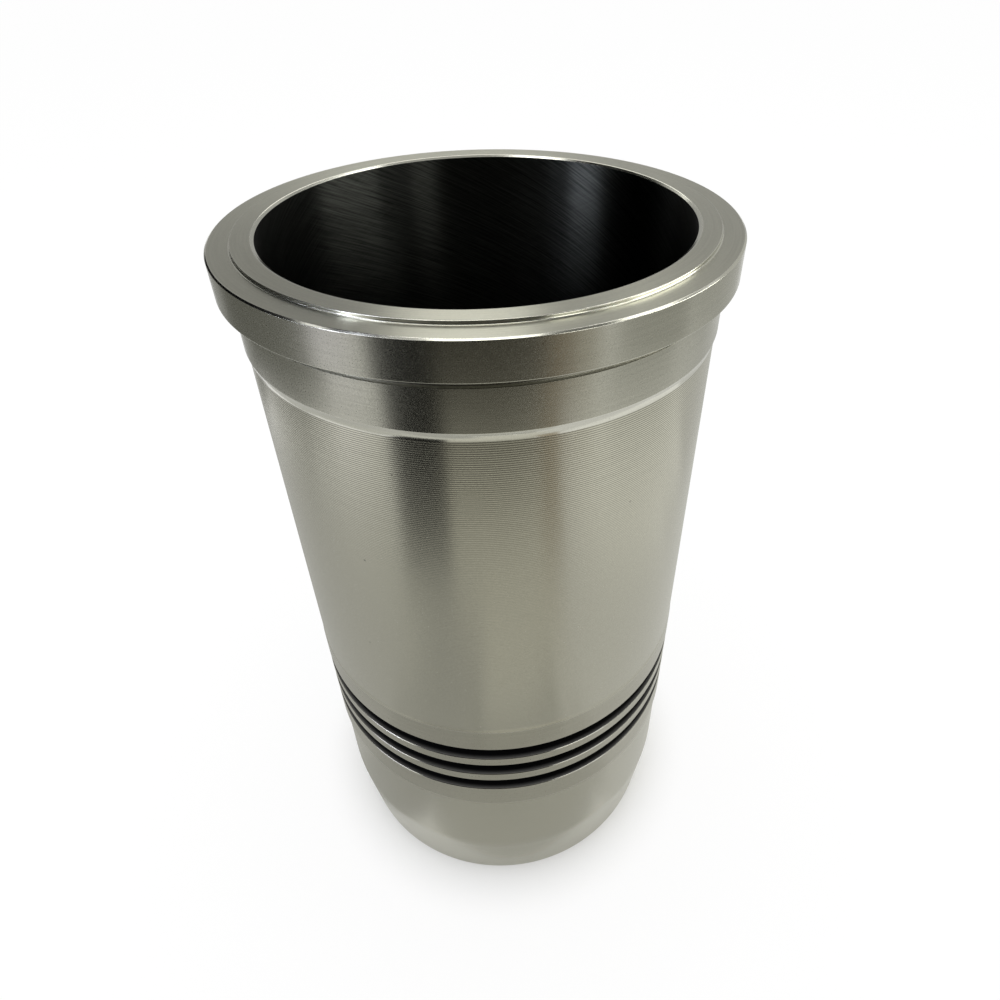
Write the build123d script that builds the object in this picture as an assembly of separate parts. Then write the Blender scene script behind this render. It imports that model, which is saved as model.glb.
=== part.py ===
from build123d import *
import os

# A wet cylinder liner for a diesel engine, turned from one centrifugally cast iron tube.
# It stands on its lower end: the origin is the centre of that end and +Z runs up the
# bore to the spigot that takes the gasket's fire ring. All sizes are in millimetres.
#
# Diameters start from the bore and the walls round it, as the casting does. Heights on
# the outside are measured down from the shelf round the spigot, the face that a liner's
# drawing works from.

# Overall
bore_diameter = 120.65
overall_length = 250.0

# Body, the wall that stands in the coolant
body_wall = 8.225

# Spigot, the low collar that stands above the flange's top shelf
spigot_wall = 6.225
spigot_height = 1.0
spigot_edge_chamfer = 0.2
spigot_root_chamfer = 0.25

# Flange, clamped between the block's counterbore and the head
flange_overhang = 3.6
flange_thickness = 10.45
flange_chamfer_width = 0.5
flange_chamfer_depth = 0.3
flange_lower_edge_break = 0.2

# Relief groove in the corner under the flange, so that the flange beds square
relief_width = 3.2
relief_depth = 0.6
relief_runout = 0.4

# Upper pilot, the fit in the block's top bore, and the taper that ends it
pilot_step = 0.65
pilot_end_below_shelf = 25.6
pilot_taper_length = 2.4
taper_blend_radius = 6.0

# Lower land, which fits the block's lower bore and carries the seal grooves
land_step = 0.175
land_start_below_shelf = 143.75
land_end_below_shelf = 189.75
land_lead_length = 0.8

# Seal grooves, empty, for rings of round section
groove_count = 3
groove_width = 5.6
groove_depth = 4.0
groove_pitch = 9.6
first_groove_below_shelf = 155.05
groove_floor_chamfer = 0.5
groove_lip_chamfer = 0.25

# Skirt below the land, and the long taper that leads the liner into the block
skirt_step = 0.7
lead_in_below_shelf = 223.5
lead_in_taper = 3.175
foot_edge_chamfer = 0.4

# Bore ends: the chamfer that guides the piston rings in, and the one at the foot
bore_top_chamfer_width = 0.9
bore_top_chamfer_depth = 0.6
bore_foot_chamfer_width = 0.8
bore_foot_chamfer_depth = 1.4

# Radii and heights that follow from the sizes above
bore_radius = bore_diameter / 2
spigot_radius = bore_radius + spigot_wall
body_radius = bore_radius + body_wall
pilot_radius = body_radius + pilot_step
flange_radius = pilot_radius + flange_overhang
land_radius = body_radius + land_step
skirt_radius = land_radius - skirt_step
foot_radius = skirt_radius - lead_in_taper

shelf_height = overall_length - spigot_height
flange_seat_height = shelf_height - flange_thickness
pilot_end_height = shelf_height - pilot_end_below_shelf
taper_end_height = pilot_end_height - pilot_taper_length
land_start_height = shelf_height - land_start_below_shelf
land_end_height = shelf_height - land_end_below_shelf
first_groove_height = shelf_height - first_groove_below_shelf
lead_in_height = shelf_height - lead_in_below_shelf


def turned(outline):
    """A solid turned about Z from a closed outline of (radius, height) points."""
    face = make_face(Polyline(*outline, close=True).edges())
    return revolve(Plane.XZ * face, axis=Axis.Z)


def outside_form():
    """The outside of the liner as one turned bar, from the foot up to the spigot."""
    return turned([
        (0, 0),
        (foot_radius, 0),
        (skirt_radius, lead_in_height),
        (skirt_radius, land_end_height - skirt_step),
        (land_radius, land_end_height),
        (land_radius, land_start_height - land_lead_length),
        (body_radius, land_start_height),
        (body_radius, taper_end_height),
        (pilot_radius, pilot_end_height),
        (pilot_radius, flange_seat_height),
        (flange_radius, flange_seat_height),
        (flange_radius, shelf_height - flange_chamfer_depth),
        (flange_radius - flange_chamfer_width, shelf_height),
        (spigot_radius, shelf_height),
        (spigot_radius, overall_length),
        (0, overall_length),
    ])


def bore_form():
    """What is bored out: the bore and the cones that chamfer its two ends."""
    return turned([
        (0, 0),
        (bore_radius + bore_foot_chamfer_width, 0),
        (bore_radius, bore_foot_chamfer_depth),
        (bore_radius, overall_length - bore_top_chamfer_depth),
        (bore_radius + bore_top_chamfer_width, overall_length),
        (0, overall_length),
    ])


def groove_form(surface_radius, upper_wall_height, width, depth, floor_chamfer):
    """The ring that a grooving tool takes out, with both floor corners eased."""
    stock_clearance = 2.0
    section = Rectangle(depth + stock_clearance, width, align=(Align.MIN, Align.MAX))
    section = chamfer(section.vertices().sort_by(Axis.X)[:2], floor_chamfer)
    section = Pos(surface_radius - depth, upper_wall_height) * section
    return revolve(Plane.XZ * section, axis=Axis.Z)


def seal_groove_heights():
    """The height of each seal groove's upper wall, from the top one down."""
    return [first_groove_height - index * groove_pitch for index in range(groove_count)]


def edges_round(part, radius, height):
    """The edges of a turned part that run round it at one radius and height."""
    near = 0.01
    return part.edges().filter_by(GeomType.CIRCLE).filter_by(
        lambda edge: abs(edge.radius - radius) < near and abs(edge.arc_center.Z - height) < near
    )


def eased_edges(part):
    """The part with its sharp turned edges eased, each by the size named for it."""
    lips = ShapeList()
    for height in seal_groove_heights():
        lips += edges_round(part, land_radius, height)
        lips += edges_round(part, land_radius, height - groove_width)
    part = chamfer(lips, groove_lip_chamfer)
    part = chamfer(edges_round(part, spigot_radius, overall_length), spigot_edge_chamfer)
    part = chamfer(edges_round(part, spigot_radius, shelf_height), spigot_root_chamfer)
    part = chamfer(edges_round(part, flange_radius, flange_seat_height), flange_lower_edge_break)
    part = chamfer(edges_round(part, foot_radius, 0), foot_edge_chamfer)
    return fillet(edges_round(part, body_radius, taper_end_height), taper_blend_radius)


def make_liner():
    """The liner: turned outside, grooved, eased at its edges, then bored."""
    liner = outside_form()
    liner -= groove_form(pilot_radius, flange_seat_height, relief_width, relief_depth, relief_runout)
    for height in seal_groove_heights():
        liner -= groove_form(land_radius, height, groove_width, groove_depth, groove_floor_chamfer)
    return eased_edges(liner) - bore_form()


os.makedirs("parts", exist_ok=True)
liner = make_liner()
liner.label = "liner"
export_step(liner, "parts/liner.step")
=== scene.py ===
import math
import bpy
import numpy as np
from mathutils import Matrix


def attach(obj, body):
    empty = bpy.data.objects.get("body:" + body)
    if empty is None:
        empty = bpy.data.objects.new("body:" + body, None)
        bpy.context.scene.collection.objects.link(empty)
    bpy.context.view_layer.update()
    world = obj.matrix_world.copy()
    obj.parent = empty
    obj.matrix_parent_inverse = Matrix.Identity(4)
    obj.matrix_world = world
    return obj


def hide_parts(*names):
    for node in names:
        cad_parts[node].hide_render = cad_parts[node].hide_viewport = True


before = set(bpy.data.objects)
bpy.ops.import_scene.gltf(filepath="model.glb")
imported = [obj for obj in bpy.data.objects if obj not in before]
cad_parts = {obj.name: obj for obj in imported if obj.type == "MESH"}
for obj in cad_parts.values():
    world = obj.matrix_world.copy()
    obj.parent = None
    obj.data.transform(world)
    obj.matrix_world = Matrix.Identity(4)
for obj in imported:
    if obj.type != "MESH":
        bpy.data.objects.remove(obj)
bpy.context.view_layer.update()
mm = 0.001
fullTurn = 2 * math.pi

# Sizes of the liner in millimetres. The outside heights run down from the flange shelf.
liner = {
    "boreRadius": 60.325, "spigotRadius": 66.55, "bodyRadius": 68.55, "pilotRadius": 69.2,
    "flangeRadius": 72.8, "landRadius": 68.725, "skirtRadius": 68.025, "footRadius": 64.85,
    "length": 250.0, "shelf": 249.0, "flangeUnder": 10.45, "pilotEnd": 25.6,
    "reliefEnd": 13.65, "reliefDepth": 0.6, "reliefEase": 0.4,
    "landStart": 143.75, "landLead": 0.8, "landEnd": 189.75, "landRunout": 0.7, "leadIn": 223.5,
    "grooveTop": 155.05, "groovePitch": 9.6, "grooveCount": 3,
    "grooveWidth": 5.6, "grooveDepth": 4.0, "grooveFloorEase": 0.5, "grooveLipEase": 0.25,
    "flangeChamferWide": 0.52, "flangeChamferDeep": 0.36, "flangeUnderEase": 0.2,
    "spigotEase": 0.14, "footEase": 0.4, "footFlare": 0.05,
    "boreTopWide": 0.9, "boreTopDeep": 0.6, "boreFootWide": 0.8, "boreFootDeep": 1.4,
    # How far the rounding of a corner reaches along the two stretches beside it
    "edgeRound": 0.09, "easeRound": 0.2, "landRound": 0.3, "spigotRootRound": 0.48,
    "leadRound": 0.6, "taperBlend": 1.4, "leadInRound": 2.5,
    # A rounding past broadFrom may take broadShare of a stretch, and a smaller one smallShare.
    # One up to brightUpTo shines as a broken edge.
    "broadFrom": 0.5, "broadShare": 0.92, "smallShare": 0.45, "brightUpTo": 0.25,
    "turns": 448, "arcSteps": 3,
}

# Finishes by zone of the outline, in the order of the material slots
zoneNames = ["turned", "land", "ground", "faced", "edge", "relief", "groove", "honed"]
zone = {name: number for number, name in enumerate(zoneNames)}
dullZones = [zone["relief"], zone["groove"], zone["honed"]]


# The outline's corners, foot first, then up the outside, across the top and down the bore.
# Each corner has its radius, height, rounding and the zone of the stretch that follows it.
def linerOutline(s):
    top, shelf, small, ease = s["length"], s["shelf"], s["edgeRound"], s["easeRound"]
    landEnd, landStart = shelf - s["landEnd"], shelf - s["landStart"]
    reliefEnd, seat = shelf - s["reliefEnd"], shelf - s["flangeUnder"]
    corners = [
        (s["boreRadius"] + s["boreFootWide"], 0, small, "faced"),
        (s["footRadius"] - s["footEase"], 0, small, "edge"),
        (s["footRadius"] + s["footFlare"], s["footEase"], small, "turned"),
        (s["skirtRadius"], shelf - s["leadIn"], s["leadInRound"], "turned"),
        (s["skirtRadius"], landEnd - s["landRunout"], s["landRound"], "turned"),
        (s["landRadius"], landEnd, s["landRound"], "land"),
    ]
    for number in range(s["grooveCount"] - 1, -1, -1):
        upper = shelf - (s["grooveTop"] + number * s["groovePitch"])
        lower = upper - s["grooveWidth"]
        floor = s["landRadius"] - s["grooveDepth"]
        lip, floorEase = s["grooveLipEase"], s["grooveFloorEase"]
        corners += [
            (s["landRadius"], lower - lip, small, "edge"),
            (s["landRadius"] - lip, lower, small, "groove"),
            (floor + floorEase, lower, floorEase, "groove"),
            (floor, lower + floorEase, floorEase, "groove"),
            (floor, upper - floorEase, floorEase, "groove"),
            (floor + floorEase, upper, floorEase, "groove"),
            (s["landRadius"] - lip, upper, small, "edge"),
            (s["landRadius"], upper + lip, small, "land"),
        ]
    reliefFloor = s["pilotRadius"] - s["reliefDepth"]
    corners += [
        (s["landRadius"], landStart - s["landLead"], s["leadRound"], "turned"),
        (s["bodyRadius"], landStart, s["leadRound"], "turned"),
        (s["bodyRadius"], shelf - (s["pilotEnd"] + s["taperBlend"]), s["taperBlend"], "edge"),
        (s["pilotRadius"], shelf - s["pilotEnd"], small, "ground"),
        (s["pilotRadius"], reliefEnd, small, "relief"),
        (reliefFloor + s["reliefEase"], reliefEnd, small, "relief"),
        (reliefFloor, reliefEnd + s["reliefEase"], ease, "relief"),
        (reliefFloor, seat - s["reliefEase"], ease, "relief"),
        (reliefFloor + s["reliefEase"], seat, ease, "faced"),
        (s["flangeRadius"] - s["flangeUnderEase"], seat, small, "edge"),
        (s["flangeRadius"], seat + s["flangeUnderEase"], small, "ground"),
        (s["flangeRadius"], shelf - s["flangeChamferDeep"], small, "edge"),
        (s["flangeRadius"] - s["flangeChamferWide"], shelf, small, "faced"),
        (s["spigotRadius"], shelf, s["spigotRootRound"], "edge"),
        (s["spigotRadius"], top - s["spigotEase"], small, "edge"),
        (s["spigotRadius"] - s["spigotEase"], top, small, "faced"),
        (s["boreRadius"] + s["boreTopWide"], top, ease, "edge"),
        (s["boreRadius"], top - s["boreTopDeep"], small, "honed"),
        (s["boreRadius"], s["boreFootDeep"], small, "faced"),
    ]
    return corners


# Every corner is a quadratic curve that leaves one stretch and joins the next at its own
# rounding's distance: point = (1-t)^2 start + 2t(1-t) corner + t^2 end. Its normal is the
# curve's direction turned a quarter, and small roundings between bright zones are edges.
def roundedOutline(corners, s):
    steps = s["arcSteps"]
    corner = np.array([c[:2] for c in corners], float)
    rounding = np.array([c[2] for c in corners], float)
    zones = np.array([zone[c[3]] for c in corners])
    before, after = np.roll(corner, 1, 0) - corner, np.roll(corner, -1, 0) - corner
    lengthBefore, lengthAfter = np.linalg.norm(before, axis=1), np.linalg.norm(after, axis=1)
    share = np.where(rounding > s["broadFrom"], s["broadShare"], s["smallShare"])
    reach = np.minimum(rounding, share * np.minimum(lengthBefore, lengthAfter))[:, None]
    start = corner + before / lengthBefore[:, None] * reach
    end = corner + after / lengthAfter[:, None] * reach
    t = np.linspace(0, 1, steps + 1)[None, :, None]
    point = (1 - t) ** 2 * start[:, None] + 2 * t * (1 - t) * corner[:, None] + t ** 2 * end[:, None]
    along = (1 - t) * (corner - start)[:, None] + t * (end - corner)[:, None]
    along /= np.linalg.norm(along, axis=2, keepdims=True)
    normal = np.stack([along[..., 1], -along[..., 0]], -1)
    stretch = np.repeat(zones[:, None], steps + 1, 1)
    curve = (rounding <= s["brightUpTo"])[:, None] & (np.arange(steps + 1) < steps)[None, :]
    stretch = np.where(curve & ~np.isin(stretch, dullZones), zone["edge"], stretch)
    return point.reshape(-1, 2), normal.reshape(-1, 2), stretch.reshape(-1)


def addObject(name, data):
    obj = bpy.data.objects.new(name, data)
    bpy.context.scene.collection.objects.link(obj)
    return obj


# The outline carried round Z: x = r cos(a), y = r sin(a), z = h, and its normal likewise.
def turnedPiece(name, corners, s, materials):
    outline, outlineNormal, zones = roundedOutline(corners, s)
    rows, turns = len(outline), s["turns"]
    angle = np.arange(turns) * (fullTurn / turns)
    ring = np.stack([np.cos(angle), np.sin(angle)], -1)
    points = np.empty((rows, turns, 3))
    points[..., :2] = outline[:, None, :1] * ring[None]
    points[..., 2] = outline[:, None, 1]
    normals = np.empty((rows, turns, 3))
    normals[..., :2] = outlineNormal[:, None, :1] * ring[None]
    normals[..., 2] = outlineNormal[:, None, 1]
    row, col = np.meshgrid(np.arange(rows), np.arange(turns), indexing="ij")
    nextRow, nextCol = (row + 1) % rows, (col + 1) % turns
    quads = np.stack([row * turns + col, row * turns + nextCol,
                      nextRow * turns + nextCol, nextRow * turns + col], -1).reshape(-1, 4)
    mesh = bpy.data.meshes.new(name)
    mesh.vertices.add(rows * turns)
    mesh.vertices.foreach_set("co", (points * mm).ravel())
    mesh.loops.add(quads.size)
    mesh.loops.foreach_set("vertex_index", quads.ravel().astype(np.int32))
    mesh.polygons.add(len(quads))
    mesh.polygons.foreach_set("loop_start", np.arange(0, quads.size, 4, dtype=np.int32))
    for material in materials:
        mesh.materials.append(material)
    mesh.polygons.foreach_set("material_index", np.repeat(zones, turns).astype(np.int32))
    mesh.update(calc_edges=True)
    mesh.validate()
    mesh.polygons.foreach_set("use_smooth", np.ones(len(quads), bool))
    mesh.normals_split_custom_set_from_vertices(normals.reshape(-1, 3).tolist())
    return addObject(name, mesh)


# A value goes into a socket as a link where it comes from another node, and plainly otherwise
def plug(tree, value, socket):
    if isinstance(value, bpy.types.NodeSocket):
        tree.links.new(value, socket)
    else:
        socket.default_value = value


def nodeIn(tree, kind, **values):
    node = tree.nodes.new(kind)
    for key, value in values.items():
        if hasattr(node, key):
            setattr(node, key, value)
        else:
            plug(tree, value, node.inputs[key])
    return node


def groupIn(tree, group, values):
    node = nodeIn(tree, "ShaderNodeGroup", node_tree=group)
    for label, value in values.items():
        plug(tree, value, node.inputs[label])
    return node


def mathIn(tree, operation, first, second=0.0, clamp=False):
    node = nodeIn(tree, "ShaderNodeMath", operation=operation, use_clamp=clamp)
    plug(tree, first, node.inputs[0])
    plug(tree, second, node.inputs[1])
    return node.outputs[0]


# A smooth ramp, low at start and high at end
def rampIn(tree, value, start, end, low=0.0, high=1.0):
    node = nodeIn(tree, "ShaderNodeMapRange", interpolation_type="SMOOTHSTEP")
    labels = ("Value", "From Min", "From Max", "To Min", "To Max")
    for label, given in zip(labels, (value, start, end, low, high)):
        plug(tree, given, node.inputs[label])
    return node.outputs[0]


# First where share is 0, second where it is 1
def blendIn(tree, share, first, second):
    node = nodeIn(tree, "ShaderNodeMix", data_type="FLOAT")
    for number, value in ((0, share), (2, first), (3, second)):
        plug(tree, value, node.inputs[number])
    return node.outputs[0]


def newGroup(name, inputs, outputs):
    group = bpy.data.node_groups.new(name, "ShaderNodeTree")
    for label, value in inputs.items():
        socket = group.interface.new_socket(label, in_out="INPUT", socket_type="NodeSocketFloat")
        socket.default_value = value
    for label, kind in outputs.items():
        group.interface.new_socket(label, in_out="OUTPUT", socket_type="NodeSocket" + kind)
    return group, group.nodes.new("NodeGroupInput").outputs, group.nodes.new("NodeGroupOutput").inputs


# Turning coordinates: distance = radius + height, which runs on along walls and faces alike,
# and a vector that is long round the axis and short across it, so noise in it makes rings.
def makeRingSpace():
    group, given, out = newGroup("ringSpace", {"Around": 1.0, "Across": 1000.0},
                                 {"Vector": "Vector", "Distance": "Float", "Turn": "Float",
                                  "Height": "Float", "Radius": "Float"})
    coord = nodeIn(group, "ShaderNodeTexCoord")
    x, y, z = nodeIn(group, "ShaderNodeSeparateXYZ", Vector=coord.outputs["Object"]).outputs
    square = mathIn(group, "ADD", mathIn(group, "MULTIPLY", x, x), mathIn(group, "MULTIPLY", y, y))
    radius = mathIn(group, "SQRT", square)
    distance = mathIn(group, "ADD", radius, z)
    turn = mathIn(group, "DIVIDE", mathIn(group, "ARCTAN2", y, x), fullTurn)
    join = nodeIn(group, "ShaderNodeCombineXYZ",
                  X=mathIn(group, "MULTIPLY", mathIn(group, "DIVIDE", x, radius), given["Around"]),
                  Y=mathIn(group, "MULTIPLY", mathIn(group, "DIVIDE", y, radius), given["Around"]),
                  Z=mathIn(group, "MULTIPLY", distance, given["Across"]))
    for label, value in (("Vector", join.outputs[0]), ("Distance", distance), ("Turn", turn),
                         ("Height", z), ("Radius", radius)):
        group.links.new(value, out[label])
    return group


ringNoise = {"Scale": 1.0, "Detail": 4.0, "Roughness": 0.6}
ringContrast = 4.0


# Turning marks: a helix, sin(2 pi (distance / feed + turn)), over uneven rings of noise,
# centred on 0 and fading with height from full strength to a share that is left.
def makeTurningMarks(ringSpace):
    group, given, out = newGroup("turningMarks",
                                 {"Feed": 0.0006, "Helix": 0.5, "Around": 3.0, "Ring Size": 0.0004,
                                  "Fade From": 0.25, "Fade To": 0.0, "Fade Left": 1.0},
                                 {"Marks": "Float"})
    across = mathIn(group, "DIVIDE", 1.0, given["Ring Size"])
    space = groupIn(group, ringSpace, {"Around": given["Around"], "Across": across}).outputs
    turns = mathIn(group, "ADD", mathIn(group, "DIVIDE", space["Distance"], given["Feed"]), space["Turn"])
    helix = mathIn(group, "SINE", mathIn(group, "MULTIPLY", turns, fullTurn))
    rings = nodeIn(group, "ShaderNodeTexNoise", Vector=space["Vector"], **ringNoise).outputs[0]
    uneven = mathIn(group, "MULTIPLY", mathIn(group, "SUBTRACT", rings, 0.5), ringContrast)
    marks = blendIn(group, given["Helix"], uneven, helix)
    fade = rampIn(group, space["Height"], given["Fade From"], given["Fade To"], 1.0, given["Fade Left"])
    group.links.new(mathIn(group, "MULTIPLY", marks, fade), out["Marks"])
    return group


grainNoise = {"Detail": 2.0, "Roughness": 0.7}


# Grain: noise at one size, pulled up in contrast about its middle.
def makeGrain():
    group, given, out = newGroup("grain", {"Size": 0.0005, "Contrast": 2.0}, {"Grain": "Float"})
    coord = nodeIn(group, "ShaderNodeTexCoord")
    noise = nodeIn(group, "ShaderNodeTexNoise", Vector=coord.outputs["Object"],
                   Scale=mathIn(group, "DIVIDE", 1.0, given["Size"]), **grainNoise).outputs[0]
    spread = mathIn(group, "MULTIPLY", mathIn(group, "SUBTRACT", noise, 0.5), given["Contrast"])
    group.links.new(mathIn(group, "ADD", spread, 0.5, clamp=True), out["Grain"])
    return group


# Pits: the few cells of a Voronoi pattern whose own colour passes a limit get a dark dot,
# 1 - distance / dot.
def makePits():
    group, given, out = newGroup("pits", {"Size": 0.004, "Share": 0.05, "Dot": 0.12}, {"Pits": "Float"})
    coord = nodeIn(group, "ShaderNodeTexCoord")
    cells = nodeIn(group, "ShaderNodeTexVoronoi", Vector=coord.outputs["Object"],
                   Scale=mathIn(group, "DIVIDE", 1.0, given["Size"])).outputs
    split = nodeIn(group, "ShaderNodeSeparateColor", Color=cells["Color"])
    chosen = mathIn(group, "LESS_THAN", split.outputs[0], given["Share"])
    inward = mathIn(group, "DIVIDE", cells["Distance"], given["Dot"])
    near = mathIn(group, "SUBTRACT", 1.0, inward, clamp=True)
    group.links.new(mathIn(group, "MULTIPLY", chosen, near), out["Pits"])
    return group


ringSpace = makeRingSpace()
turningMarks = makeTurningMarks(ringSpace)
grain = makeGrain()
pits = makePits()
print("node groups made")


def newMaterial(name):
    material = bpy.data.materials.new(name)
    material.use_nodes = True
    return material, material.node_tree


# The highlight is drawn out across the marks, because their direction is the tangent round
# Z, turned a quarter.
def brushedShader(tree, metal, stretch):
    shader = tree.nodes["Principled BSDF"]
    shader.inputs["Metallic"].default_value = metal
    shader.inputs["Anisotropic"].default_value = stretch
    shader.inputs["Anisotropic Rotation"].default_value = 0.25
    tangent = nodeIn(tree, "ShaderNodeTangent", direction_type="RADIAL", axis="Z")
    tree.links.new(tangent.outputs[0], shader.inputs["Tangent"])
    return shader.inputs


# The tone times a level that changes over the surface
def shadeTone(tree, sockets, tone, level):
    colour = nodeIn(tree, "ShaderNodeVectorMath", operation="SCALE", Scale=level)
    colour.inputs[0].default_value = tone
    tree.links.new(colour.outputs[0], sockets["Base Color"])


# A relief whose height is in millimetres
def shapeRelief(tree, sockets, height):
    bump = nodeIn(tree, "ShaderNodeBump", Strength=1.0, Distance=mm, Height=height)
    tree.links.new(bump.outputs[0], sockets["Normal"])


# One entry per finish. tone is the metal's own colour, except that the darker tones of the
# relief and the groove are painted shade in those recesses. Depths are in millimetres, sizes in
# metres, and the rest are strengths. fadeFrom and fadeTo are heights between which the
# turning marks get shallower, down to fadeLeft of their depth. darkTo and darkFrom are radii
# between which a groove darkens inwards, painted shade towards its floor.
plainFinish = dict(metal=1.0, specular=0.15, feed=0.0003, helix=0.0, around=3.0, ring=0.0004,
                   markDepth=0.0, grainSize=0.0006, grainContrast=2.0, grainTone=0.05, grainDepth=0.0,
                   pitSize=0.004, pitShare=0.05, pitDot=0.12, pitTone=0.7, roughWander=0.05,
                   fadeFrom=0.25, fadeTo=0.0, fadeLeft=1.0)
finishes = {
    "turned": dict(plainFinish, tone=(0.435, 0.427, 0.355), rough=0.26, stretch=0.62, feed=0.00064,
                   helix=0.85, ring=0.0003, markTone=0.24, markDepth=0.0068, grainTone=0.055,
                   grainDepth=0.0006, roughWander=0.03, fadeFrom=0.214, fadeTo=0.168, fadeLeft=0.12),
    "land": dict(plainFinish, tone=(0.39, 0.38, 0.315), rough=0.30, stretch=0.45, helix=0.1,
                 ring=0.0005, markTone=0.04, markDepth=0.002, grainSize=0.0007, grainTone=0.06,
                 grainDepth=0.002, roughWander=0.08),
    "ground": dict(plainFinish, tone=(0.40, 0.395, 0.335), rough=0.26, stretch=0.3, feed=0.0002,
                   ring=0.0005, markTone=0.04, markDepth=0.001, grainSize=0.00045, grainTone=0.09,
                   grainDepth=0.003, roughWander=0.08),
    "faced": dict(plainFinish, tone=(0.44, 0.435, 0.37), rough=0.30, stretch=0.7, helix=0.1,
                  markTone=0.05, markDepth=0.002, grainTone=0.04, grainDepth=0.001),
    "edge": dict(plainFinish, tone=(0.61, 0.605, 0.535), rough=0.16, stretch=0.3, ring=0.0006,
                 markTone=0.03, grainTone=0.04),
    # Painted shade: the relief is darker than the metal beside it, for the shade under the flange
    "relief": dict(plainFinish, tone=(0.20, 0.195, 0.16), rough=0.40, stretch=0.5, markTone=0.08,
                   markDepth=0.002),
    # Painted shade: the groove is a dark non-metal that darkens inwards, for the shade inside it
    "groove": dict(plainFinish, tone=(0.10, 0.098, 0.093), metal=0.0, rough=0.60, stretch=0.0,
                   markTone=0.08, darkTo=0.0670, darkFrom=0.0689),
}


# Turned metal: tone times (1 - mark strength x marks - grain strength x grain) times
# (1 - pit strength x pits), with roughness that wanders with the grain. The relief is marks
# x their depth, which fades with height, plus grain x its depth.
def makeFinish(name, f):
    material, tree = newMaterial(name + "Iron")
    sockets = brushedShader(tree, f["metal"], f["stretch"])
    sockets["Specular IOR Level"].default_value = f["specular"]
    marks = groupIn(tree, turningMarks, {
        "Feed": f["feed"], "Helix": f["helix"], "Around": f["around"], "Ring Size": f["ring"],
        "Fade From": f["fadeFrom"], "Fade To": f["fadeTo"], "Fade Left": f["fadeLeft"]}).outputs[0]
    speck = groupIn(tree, grain, {"Size": f["grainSize"], "Contrast": f["grainContrast"]}).outputs[0]
    pit = groupIn(tree, pits, {
        "Size": f["pitSize"], "Share": f["pitShare"], "Dot": f["pitDot"]}).outputs[0]
    shade = mathIn(tree, "ADD", mathIn(tree, "MULTIPLY", marks, 2 * f["markTone"]),
                   mathIn(tree, "MULTIPLY", speck, 2 * f["grainTone"]))
    pitted = mathIn(tree, "SUBTRACT", 1.0, mathIn(tree, "MULTIPLY", pit, f["pitTone"]))
    level = mathIn(tree, "MULTIPLY", mathIn(tree, "SUBTRACT", 1.0 + f["grainTone"], shade), pitted)
    # Painted shade: a groove's tone darkens towards its floor
    if "darkTo" in f:
        radius = groupIn(tree, ringSpace, {}).outputs["Radius"]
        level = mathIn(tree, "MULTIPLY", level, rampIn(tree, radius, f["darkTo"], f["darkFrom"]))
    shadeTone(tree, sockets, f["tone"], level)
    wander = mathIn(tree, "MULTIPLY", mathIn(tree, "SUBTRACT", speck, 0.5), f["roughWander"])
    tree.links.new(mathIn(tree, "ADD", wander, f["rough"]), sockets["Roughness"])
    if f["markDepth"] or f["grainDepth"]:
        relief = mathIn(tree, "ADD", mathIn(tree, "MULTIPLY", marks, f["markDepth"]),
                        mathIn(tree, "MULTIPLY", speck, f["grainDepth"]))
        shapeRelief(tree, sockets, relief)
    return material


# honeLong and honeWide are the size of a scratch in metres, and mainShare is how much of the
# mix the stronger set has. fadeFrom and fadeTo are heights between which the tone darkens to
# fadeLeft, painted shade deeper in the bore; sideFrom and sideTo are places on X where the
# stronger set changes, a painted highlight of the set that catches the light.
bore = dict(tone=(0.040, 0.0415, 0.038), rough=0.30, stretch=0.97, honeAngle=27.0, honeLong=0.021,
            honeWide=0.0006, honeTone=3.4, honeLeast=0.1, honeDepth=0.003, honeApart=3.0,
            mainShare=0.85, fadeFrom=0.232, fadeTo=0.178, fadeLeft=0.35, sideFrom=-0.055, sideTo=-0.049)
honeNoise = {"Scale": 1.0, "Detail": 3.0, "Roughness": 0.65}


# Scratches: noise over (turn x circumference, height), turned by the honing angle and
# stretched along it. sign is 1 for the set that falls to the right and -1 for the other.
def scratchSet(tree, around, height, sign, b):
    angle = math.radians(b["honeAngle"])
    c, s = math.cos(angle), sign * math.sin(angle)
    along = mathIn(tree, "ADD", mathIn(tree, "MULTIPLY", around, c),
                   mathIn(tree, "MULTIPLY", height, s))
    across = mathIn(tree, "SUBTRACT", mathIn(tree, "MULTIPLY", height, c),
                    mathIn(tree, "MULTIPLY", around, s))
    join = nodeIn(tree, "ShaderNodeCombineXYZ", X=mathIn(tree, "DIVIDE", along, b["honeLong"]),
                  Y=mathIn(tree, "DIVIDE", across, b["honeWide"]), Z=b["honeApart"] * sign)
    return nodeIn(tree, "ShaderNodeTexNoise", Vector=join.outputs[0], **honeNoise).outputs[0]
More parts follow.
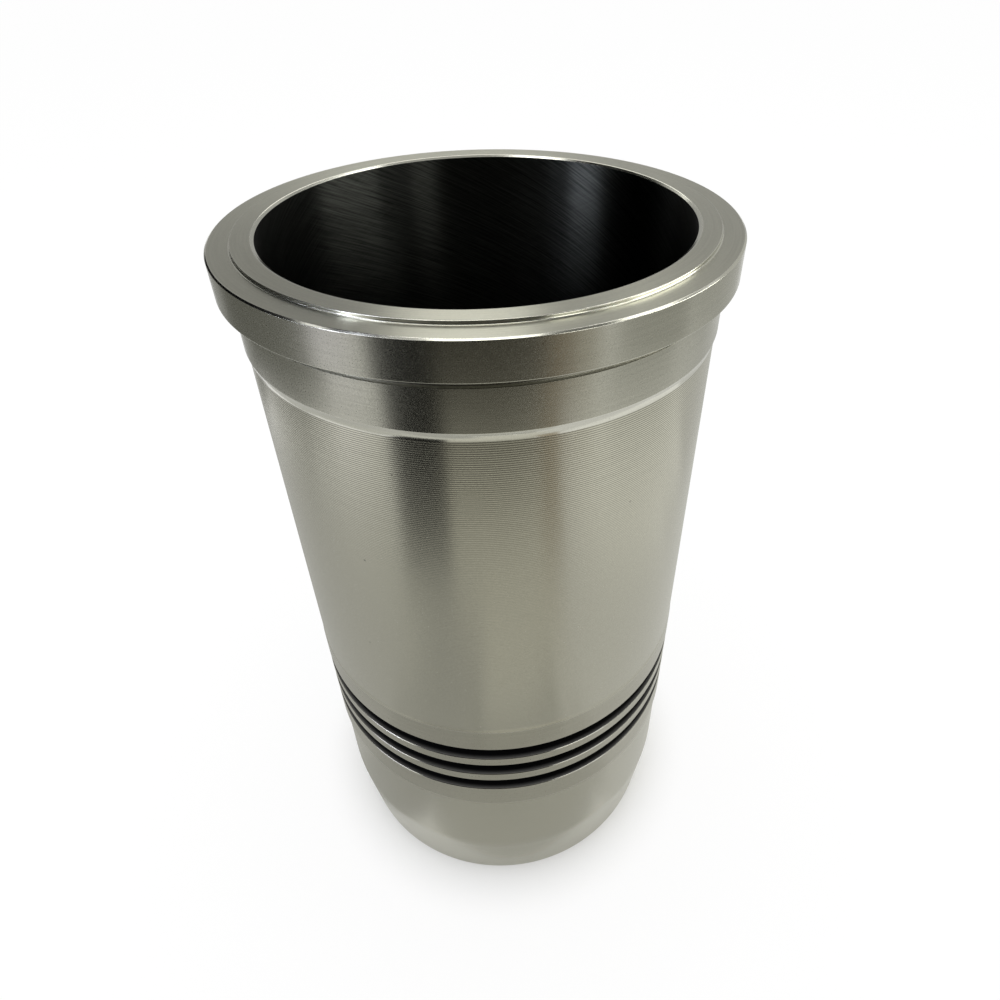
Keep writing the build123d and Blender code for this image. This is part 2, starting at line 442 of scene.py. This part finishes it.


# Honed bore: the falling set of scratches is the stronger, except at the far left, where a
# ramp on X gives way to the rising one; this choice of set by side is painted highlight. The
# tone is multiplied by 1 + honeTone x (scratches - 1/2), but not below honeLeast, and by a
# ramp on height, painted shade that darkens the bore downwards.
def makeHoned(b):
    material, tree = newMaterial("honedIron")
    sockets = brushedShader(tree, 1.0, b["stretch"])
    sockets["Roughness"].default_value = b["rough"]
    space = groupIn(tree, ringSpace, {}).outputs
    around = mathIn(tree, "MULTIPLY", space["Turn"], fullTurn * liner["boreRadius"] * mm)
    coord = nodeIn(tree, "ShaderNodeTexCoord")
    x = nodeIn(tree, "ShaderNodeSeparateXYZ", Vector=coord.outputs["Object"]).outputs[0]
    # Painted highlight: which set of scratches is the stronger changes with the side on X
    risingShare = rampIn(tree, x, b["sideFrom"], b["sideTo"], b["mainShare"], 1 - b["mainShare"])
    falling = scratchSet(tree, around, space["Height"], 1, b)
    rising = scratchSet(tree, around, space["Height"], -1, b)
    scratches = blendIn(tree, risingShare, falling, rising)
    contrast = mathIn(tree, "MULTIPLY", mathIn(tree, "SUBTRACT", scratches, 0.5), b["honeTone"])
    level = mathIn(tree, "MAXIMUM", mathIn(tree, "ADD", contrast, 1.0), b["honeLeast"])
    # Painted shade: the tone darkens deeper down the bore
    fade = rampIn(tree, space["Height"], b["fadeFrom"], b["fadeTo"], 1.0, b["fadeLeft"])
    shadeTone(tree, sockets, b["tone"], mathIn(tree, "MULTIPLY", level, fade))
    shapeRelief(tree, sockets, mathIn(tree, "MULTIPLY", scratches, b["honeDepth"]))
    return material


materials = [makeFinish(name, finishes[name]) for name in zoneNames[:-1]] + [makeHoned(bore)]
print("materials made")

linerPiece = turnedPiece("linerSurface", linerOutline(liner), liner, materials)
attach(linerPiece, "root")
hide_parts("liner")
print("liner turned:", len(linerPiece.data.polygons), "faces")

# Studio: a white surround for what the camera and the metal see, plain soft light for the rest
studio = {
    "floorHalf": 6.0, "floorWhite": 0.93, "floorGlow": 0.84, "ambient": 1.0,
    "glowFrom": (0.061, 0.088), "lampSize": 1.2, "lampHeight": 1.6, "lampWatts": 6.0,
}
# Cards round the liner, seen only as reflections in it. azimuth is 0 at the camera's side
# and grows to the right, in degrees, and the rest is in metres. An upright card stands
# from low to high, a flat one lies from near to far, and a raised one faces the flange.
cards = [
    # In front: dark, with a darker post to the left and a warm strip to the right
    dict(name="frontFlag", kind="upright", azimuth=-0.85, distance=0.41, width=0.38, low=0.0, high=0.34,
         tone=(0.035, 0.031, 0.022)),
    dict(name="frontHigh", kind="upright", azimuth=-1.5, distance=0.41, width=0.4, low=0.34, high=1.5,
         tone=(0.004, 0.004, 0.004)),
    dict(name="frontPost", kind="upright", azimuth=-30.6, distance=0.28, width=0.116, low=0.0, high=0.4,
         tone=(0.004, 0.004, 0.003)),
    dict(name="warmCard", kind="upright", azimuth=29, distance=0.41, width=0.072, low=0.0, high=0.17,
         tone=(0.22, 0.165, 0.10)),
    dict(name="warmEdge", kind="upright", azimuth=38.5, distance=0.41, width=0.07, low=0.0, high=0.17,
         tone=(0.46, 0.43, 0.36)),
    dict(name="warmShade", kind="flat", azimuth=26, near=0.26, far=0.41, width=0.05, low=0.0016,
         tone=(0.42, 0.36, 0.27)),
    # High on the right, for the edges of the flange and the spigot
    dict(name="rightHigh", kind="upright", azimuth=40, distance=0.5, width=0.3, low=0.42, high=0.8,
         tone=(0.02, 0.02, 0.017)),
    dict(name="rightSlot", kind="raised", azimuth=50, elevation=44, distance=0.7, width=0.16,
         height=0.6, tone=(0.0, 0.0, 0.0)),
    dict(name="rightGlow", kind="raised", azimuth=80, elevation=54, distance=0.84, width=1.3,
         height=0.26, tone=(2.4, 2.4, 2.25)),
    # Low but above the flange, where only the wall of the bore looks
    dict(name="boreGlow", kind="upright", azimuth=77, distance=0.44, width=0.42, low=0.28, high=0.44,
         tone=(6.4, 6.4, 6.0)),
    dict(name="boreEdge", kind="upright", azimuth=34, distance=0.40, width=0.1, low=0.28, high=0.43,
         tone=(3.7, 3.7, 3.45)),
    dict(name="boreDark", kind="upright", azimuth=-128, distance=0.44, width=0.12, low=0.275, high=0.38,
         tone=(0.0, 0.0, 0.0)),
    dict(name="windowLow", kind="upright", azimuth=-66, distance=0.48, width=0.21, low=0.28, high=0.46,
         tone=(10.8, 11.4, 13.2)),
    # Dim bands on the right, for the wall of the spigot and the edge of the flange
    dict(name="rightBand", kind="upright", azimuth=66, distance=0.5, width=0.62, low=0.49, high=0.62,
         tone=(0.16, 0.16, 0.14)),
    dict(name="rightRoof", kind="raised", azimuth=64, elevation=61, distance=0.82, width=0.5,
         height=0.26, tone=(0.16, 0.16, 0.15)),
    # Round the sides and the back, for the outer wall
    dict(name="windowCard", kind="upright", azimuth=-60.5, distance=0.5, width=0.155, low=0.0, high=0.8,
         tone=(0.95, 0.93, 1.05)),
    dict(name="leftCard", kind="upright", azimuth=-96, distance=0.36, width=0.38, low=0.027, high=0.27,
         tone=(0.17, 0.17, 0.15)),
    dict(name="leftRamp", kind="upright", azimuth=-130, distance=0.37, width=0.1, low=0.0, high=0.27,
         tone=(0.42, 0.42, 0.40)),
    dict(name="rightCard", kind="upright", azimuth=70, distance=0.45, width=0.30, low=0.0, high=0.4,
         tone=(0.45, 0.45, 0.42)),
    dict(name="rightFar", kind="upright", azimuth=114, distance=0.5, width=0.42, low=0.0, high=0.5,
         tone=(0.57, 0.57, 0.54)),
    dict(name="backCard", kind="upright", azimuth=180, distance=0.8, width=2.2, low=0.2, high=0.95,
         tone=(0.44, 0.44, 0.43)),
    dict(name="backRight", kind="upright", azimuth=150, distance=0.76, width=0.42, low=0.42, high=0.85,
         tone=(0.60, 0.60, 0.58)),
    # On the floor, for the lower half of the outer wall: sheets seen only in reflection, most of
    # them dark, standing for shadow on the floor, so the wall shows painted shadow in its reflection
    dict(name="frontShade", kind="flat", azimuth=-2, near=0.28, far=0.36, width=0.26, low=0.001,
         tone=(0.60, 0.59, 0.53)),
    dict(name="farShade", kind="flat", azimuth=2, near=0.345, far=0.41, width=0.41, low=0.0012,
         tone=(0.2, 0.19, 0.16)),
    dict(name="nearShade", kind="flat", azimuth=-2, near=0.15, far=0.28, width=0.22, low=0.001,
         tone=(0.74, 0.73, 0.67)),
    dict(name="landShade", kind="flat", azimuth=-4, near=0.115, far=0.142, width=0.15, low=0.001,
         tone=(0.40, 0.40, 0.37)),
    dict(name="footShade", kind="flat", azimuth=3, near=0.068, far=0.115, width=0.15, low=0.001,
         tone=(0.60, 0.60, 0.57)),
    dict(name="postShade", kind="flat", azimuth=-30, near=0.252, far=0.45, width=0.10, low=0.002,
         tone=(0.01, 0.01, 0.01)),
    dict(name="postEdge", kind="flat", azimuth=-31, near=0.2, far=0.252, width=0.085, low=0.002,
         tone=(0.74, 0.74, 0.70)),
    dict(name="rightNear", kind="flat", azimuth=85, near=0.06, far=0.22, width=0.5, low=0.0008,
         tone=(0.78, 0.78, 0.76)),
    dict(name="rightShade", kind="flat", azimuth=71, near=0.22, far=0.36, width=0.36, low=0.0008,
         tone=(1.01, 1.01, 0.98)),
    dict(name="rightOuter", kind="flat", azimuth=75, near=0.36, far=0.5, width=0.5, low=0.0008,
         tone=(0.80, 0.80, 0.78)),
    dict(name="rightRear", kind="flat", azimuth=130, near=0.19, far=0.5, width=0.36, low=0.0006,
         tone=(0.67, 0.67, 0.65)),
    dict(name="leftShade", kind="flat", azimuth=-75, near=0.14, far=0.32, width=0.3, low=0.0015,
         tone=(0.66, 0.66, 0.63)),
    dict(name="leftNear", kind="flat", azimuth=-75, near=0.065, far=0.14, width=0.36, low=0.0014,
         tone=(0.52, 0.52, 0.50)),
    dict(name="leftRear", kind="flat", azimuth=-118, near=0.06, far=0.335, width=0.36, low=0.0018,
         tone=(0.60, 0.60, 0.58)),
    # Overhead and round the rim, for the top faces and their edges
    dict(name="ceilingCard", kind="raised", azimuth=180, elevation=68, distance=1.0, width=2.4,
         height=1.2, tone=(0.42, 0.42, 0.41)),
    dict(name="topLight", kind="raised", azimuth=0, elevation=74, distance=0.95, width=0.46,
         height=0.38, tone=(3.0, 3.0, 2.85)),
    dict(name="sideLight", kind="raised", azimuth=100, elevation=60, distance=0.95, width=0.12,
         height=0.7, tone=(1.4, 1.4, 1.4)),
    dict(name="windowHigh", kind="raised", azimuth=-70, elevation=50, distance=0.8, width=0.15,
         height=0.24, tone=(6.5, 6.8, 7.9)),
    dict(name="rimFlag", kind="upright", azimuth=-57, distance=0.13, width=0.05, low=0.255, high=0.325,
         tone=(0.0, 0.0, 0.0)),
    dict(name="leftCanopy", kind="raised", azimuth=-105, elevation=34, distance=0.8, width=0.66,
         height=1.0, tone=(0.0, 0.0, 0.0)),
    dict(name="leftSlit", kind="raised", azimuth=-101, elevation=48.5, distance=0.75, width=0.24,
         height=0.08, tone=(1.5, 1.5, 1.5)),
    dict(name="leftDark", kind="raised", azimuth=-148, elevation=53, distance=0.82, width=0.30,
         height=0.34, tone=(0.005, 0.005, 0.005)),
    dict(name="leftDeep", kind="raised", azimuth=-159, elevation=45, distance=0.83, width=0.14,
         height=0.20, tone=(0.02, 0.02, 0.02)),
    dict(name="backDarkLeft", kind="raised", azimuth=-159, elevation=22, distance=0.7, width=0.13,
         height=0.18, tone=(0.36, 0.36, 0.35)),
    dict(name="backDarkRight", kind="raised", azimuth=155, elevation=23, distance=0.7, width=0.15,
         height=0.2, tone=(0.44, 0.44, 0.43)),
    dict(name="backPanel", kind="raised", azimuth=-177.5, elevation=42, distance=0.75, width=0.2,
         height=0.40, tone=(2.1, 2.1, 2.0)),
    dict(name="leftBox", kind="raised", azimuth=-135, elevation=72, distance=0.8, width=0.15,
         height=0.14, tone=(5.0, 5.0, 5.0)),
    dict(name="rightBox", kind="raised", azimuth=138, elevation=54, distance=0.85, width=0.16,
         height=0.3, tone=(4.0, 4.0, 4.0)),
]
flangeHeight = 0.25
white = (1, 1, 1, 1)


# 1 for what the camera sees, whether directly, in gloss or through glass, and 0 for light
def seenRay(tree):
    path = nodeIn(tree, "ShaderNodeLightPath").outputs
    seen = mathIn(tree, "MAXIMUM", path["Is Camera Ray"], path["Is Glossy Ray"])
    return mathIn(tree, "MAXIMUM", seen, path["Is Transmission Ray"])


def blendShaders(tree, share, first, second, outKind):
    mix = nodeIn(tree, "ShaderNodeMixShader")
    plug(tree, share, mix.inputs[0])
    tree.links.new(first.outputs[0], mix.inputs[1])
    tree.links.new(second.outputs[0], mix.inputs[2])
    tree.links.new(mix.outputs[0], nodeIn(tree, outKind).inputs[0])


# The world is white to the camera, to gloss and through glass. How much light it gives to
# the rest is set on its own, by ambient.
def makeWorld(s):
    world = bpy.data.worlds.new("surround")
    bpy.context.scene.world = world
    world.use_nodes = True
    tree = world.node_tree
    tree.nodes.clear()
    light = nodeIn(tree, "ShaderNodeBackground", Color=white, Strength=s["ambient"])
    plain = nodeIn(tree, "ShaderNodeBackground", Color=white, Strength=1.0)
    blendShaders(tree, seenRay(tree), light, plain, "ShaderNodeOutputWorld")


# The floor is pale and matt. Seen by the camera or in gloss it mostly glows, so that it
# meets the white surround without an edge, and the share left to the paper still takes the
# liner's shadow. The glow stops inside the liner, between the two radii of glowFrom.
def makeFloor(s):
    half = s["floorHalf"]
    mesh = bpy.data.meshes.new("floor")
    corners = [(-half, -half, 0), (half, -half, 0), (half, half, 0), (-half, half, 0)]
    mesh.from_pydata(corners, [], [(0, 1, 2, 3)])
    floor = addObject("floor", mesh)
    material, tree = newMaterial("floorPaper")
    tree.nodes.clear()
    outside = rampIn(tree, groupIn(tree, ringSpace, {}).outputs["Radius"], *s["glowFrom"])
    share = mathIn(tree, "MULTIPLY", mathIn(tree, "MULTIPLY", seenRay(tree), outside), s["floorGlow"])
    paper = nodeIn(tree, "ShaderNodeBsdfDiffuse", Color=(s["floorWhite"],) * 3 + (1,))
    glow = nodeIn(tree, "ShaderNodeEmission", Color=white, Strength=1.0)
    blendShaders(tree, share, paper, glow, "ShaderNodeOutputMaterial")
    mesh.materials.append(material)


# The corners of a card: its centre plus or minus half its two sides, which are square to
# the line from the flange to an upright or raised card, and lie on the floor for a flat one.
def cardCorners(c):
    turn = math.radians(c["azimuth"])
    out = np.array([math.sin(turn), -math.cos(turn), 0])
    side = np.array([math.cos(turn), math.sin(turn), 0])
    up = np.array([0, 0, 1.0])
    if c["kind"] == "upright":
        centre = out * c["distance"] + up * (c["low"] + c["high"]) / 2
        first, second = side * c["width"], up * (c["high"] - c["low"])
    elif c["kind"] == "flat":
        centre = out * (c["near"] + c["far"]) / 2 + up * c["low"]
        first, second = side * c["width"], out * (c["far"] - c["near"])
    else:
        rise = math.radians(c["elevation"])
        line = out * math.cos(rise) + up * math.sin(rise)
        centre = line * c["distance"] + up * flangeHeight
        first, second = side * c["width"], np.cross(line, side) * c["height"]
    signs = ((-1, -1), (1, -1), (1, 1), (-1, 1))
    return [tuple(centre + first * i / 2 + second * j / 2) for i, j in signs]


def makeCard(c):
    mesh = bpy.data.meshes.new(c["name"])
    mesh.from_pydata(cardCorners(c), [], [(0, 1, 2, 3)])
    card = addObject(c["name"], mesh)
    material, tree = newMaterial(c["name"] + "Cloth")
    tree.nodes.clear()
    glow = nodeIn(tree, "ShaderNodeEmission", Color=(*c["tone"], 1), Strength=1.0)
    tree.links.new(glow.outputs[0], nodeIn(tree, "ShaderNodeOutputMaterial").inputs[0])
    mesh.materials.append(material)
    card.visible_camera = card.visible_diffuse = card.visible_shadow = card.visible_transmission = False


# The lamp lights the floor; the metal sees the cards instead of it.
def makeLamp(s):
    data = bpy.data.lights.new("softbox", "AREA")
    data.shape, data.size, data.energy = "SQUARE", s["lampSize"], s["lampWatts"]
    lamp = addObject("softbox", data)
    lamp.location = (0, 0, s["lampHeight"])
    lamp.visible_glossy = False


makeWorld(studio)
makeFloor(studio)
for card in cards:
    makeCard(card)
makeLamp(studio)
print("studio made")

# The camera stands close in front and looks down into the bore
shot = {
    "distance": 0.1996, "height": 0.3158, "yaw": -3.289, "pitch": -36.76, "roll": 0.911,
    "lens": 25.676, "sensor": 36.0, "shiftX": -0.0233, "shiftY": -0.0494, "near": 0.01, "far": 50,
}


def makeCamera(s):
    data = bpy.data.cameras.new("camera")
    data.sensor_fit, data.sensor_width, data.lens = "HORIZONTAL", s["sensor"], s["lens"]
    data.shift_x, data.shift_y = s["shiftX"], s["shiftY"]
    data.clip_start, data.clip_end = s["near"], s["far"]
    camera = addObject("camera", data)
    turn = Matrix.Rotation(math.radians(s["yaw"]), 4, "Z")
    turn = turn @ Matrix.Rotation(math.radians(s["pitch"]), 4, "X")
    turn = turn @ Matrix.Rotation(math.radians(s["roll"]), 4, "Y")
    turn = turn @ Matrix.Rotation(math.pi / 2, 4, "X")
    camera.matrix_world = Matrix.Translation((0, -s["distance"], s["height"])) @ turn
    bpy.context.scene.camera = camera


makeCamera(shot)
bpy.context.scene.view_settings.view_transform = "Standard"
